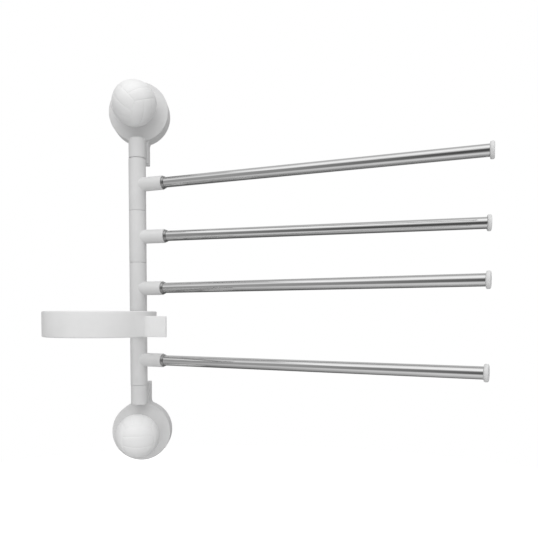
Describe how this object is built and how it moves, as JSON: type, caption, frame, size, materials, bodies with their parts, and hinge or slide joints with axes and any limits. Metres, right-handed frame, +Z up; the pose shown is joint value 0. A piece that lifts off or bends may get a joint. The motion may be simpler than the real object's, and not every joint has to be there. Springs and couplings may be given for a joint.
{
  "type": "swing arm towel bar",
  "caption": "Wall post with swinging chrome towel rods and a swinging holder ring, held by two suction discs with ball-shaped tightening knobs",
  "frame": {"origin": "centre of the upper disc's wall face, on the wall plane", "axes": "+Z up along the post, +X to the right along the wall, +Y into the wall"},
  "size_m": [0.4639, 0.2195, 0.4529],
  "materials": {
    "white_abs": "white moulded ABS, semi-gloss",
    "chrome": "bright chrome-plated tube",
    "soft_pvc": "soft translucent suction vinyl",
    "steel": "turned steel, zinc plated",
    "brass": "turned brass insert",
    "nylon": "pale nylon, satin"
  },
  "bodies": {
    "wall_frame": {"upper_bracket": "white_abs", "lower_bracket": "white_abs", "upper_shaft_plug": "white_abs", "lower_shaft_plug": "white_abs", "upper_suction_pad": "soft_pvc", "lower_suction_pad": "soft_pvc", "upper_thrust_washer": "nylon", "lower_thrust_washer": "nylon", "pivot_shaft": "steel", "hub_washers": "nylon"},
    "arm_1": {"arm_1_hub": "white_abs", "arm_1_ferrule": "chrome", "arm_1_rod": "chrome", "arm_1_end_cap": "white_abs"},
    "arm_2": {"arm_2_hub": "white_abs", "arm_2_ferrule": "chrome", "arm_2_rod": "chrome", "arm_2_end_cap": "white_abs"},
    "arm_3": {"arm_3_hub": "white_abs", "arm_3_ferrule": "chrome", "arm_3_rod": "chrome", "arm_3_end_cap": "white_abs"},
    "arm_4": {"arm_4_hub": "white_abs", "arm_4_ferrule": "chrome", "arm_4_rod": "chrome", "arm_4_end_cap": "white_abs"},
    "holder_ring": {"ring_holder": "white_abs"},
    "upper_ball_knob": {"upper_knob": "white_abs", "upper_knob_insert": "brass"},
    "upper_draw_stud": {"upper_stud": "steel"},
    "lower_ball_knob": {"lower_knob": "white_abs", "lower_knob_insert": "brass"},
    "lower_draw_stud": {"lower_stud": "steel"}
  },
  "joints": [
    {"name": "arm_1_swing", "type": "hinge", "parent": "wall_frame", "child": "arm_1", "pos_m": [0, -0.033, -0.08875], "axis": [0, 0, 1], "range_deg": [-156.5, 23.5]},
    {"name": "arm_2_swing", "type": "hinge", "parent": "wall_frame", "child": "arm_2", "pos_m": [0, -0.033, -0.14925], "axis": [0, 0, 1], "range_deg": [-163, 17]},
    {"name": "arm_3_swing", "type": "hinge", "parent": "wall_frame", "child": "arm_3", "pos_m": [0, -0.033, -0.20975], "axis": [0, 0, 1], "range_deg": [-153, 27]},
    {"name": "arm_4_swing", "type": "hinge", "parent": "wall_frame", "child": "arm_4", "pos_m": [0, -0.033, -0.29375], "axis": [0, 0, 1], "range_deg": [-152.5, 27.5]},
    {"name": "holder_ring_swing", "type": "hinge", "parent": "wall_frame", "child": "holder_ring", "pos_m": [0, -0.033, -0.25175], "axis": [0, 0, 1], "range_deg": [-41, 80]},
    {"name": "upper_knob_turn", "type": "hinge", "parent": "wall_frame", "child": "upper_ball_knob", "pos_m": [0, -0.049, 0], "axis": [0, -1, 0], "range_deg": [0, 270]},
    {"name": "upper_stud_draw", "type": "slide", "parent": "wall_frame", "child": "upper_draw_stud", "axis": [0, 1, 0], "range_m": [0, 0.00226]},
    {"name": "lower_knob_turn", "type": "hinge", "parent": "wall_frame", "child": "lower_ball_knob", "pos_m": [0, -0.049, -0.3825], "axis": [0, -1, 0], "range_deg": [0, 270]},
    {"name": "lower_stud_draw", "type": "slide", "parent": "wall_frame", "child": "lower_draw_stud", "axis": [0, 1, 0], "range_m": [0, 0.00226]}
  ],
  "couplings": [
    {"joint": "upper_stud_draw", "follows": "upper_knob_turn", "m_per_rad": 0.00047746},
    {"joint": "lower_stud_draw", "follows": "lower_knob_turn", "m_per_rad": 0.00047746}
  ]
}
